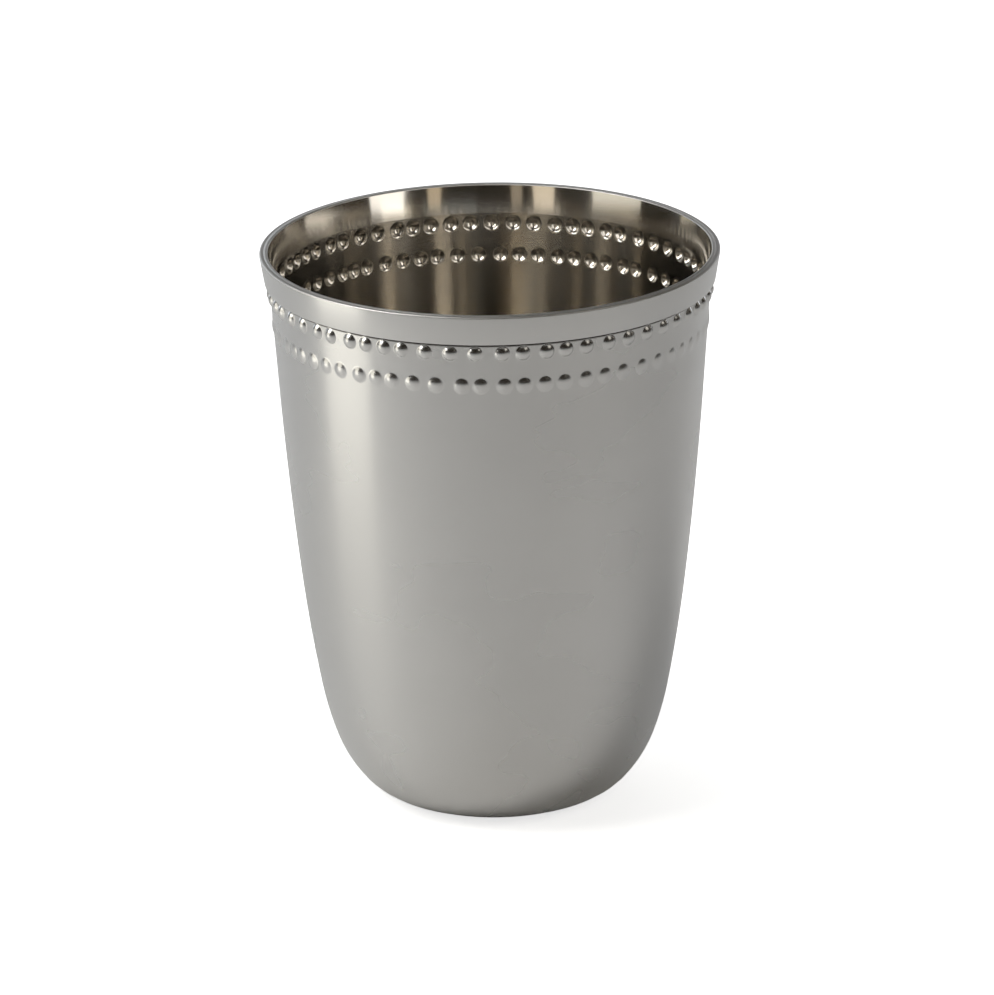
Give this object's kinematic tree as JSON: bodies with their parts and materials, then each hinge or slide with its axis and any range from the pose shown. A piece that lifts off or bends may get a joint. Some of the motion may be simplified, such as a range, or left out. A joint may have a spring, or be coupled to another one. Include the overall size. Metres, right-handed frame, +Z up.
{
  "type": "julep cup",
  "caption": "Handleless metal drinking cup with a tapered, curved side, a plain soldered lip band and two rows of embossed beads.",
  "frame": {"origin": "centre of the foot, on the surface that the cup stands on", "axes": "+Z up along the cup's axis, -Y towards the viewer of the picture, +X to the viewer's right"},
  "size_m": [0.0818, 0.0818, 0.1016],
  "materials": {
    "cup_metal": "satin outside, spun and brighter inside",
    "band_metal": "satin, brushed round the lip",
    "solder": "dull grey"
  },
  "bodies": {
    "root": {"cup_body": "cup_metal", "rim_band": "band_metal", "solder_seam": "solder"}
  },
  "joints": []
}
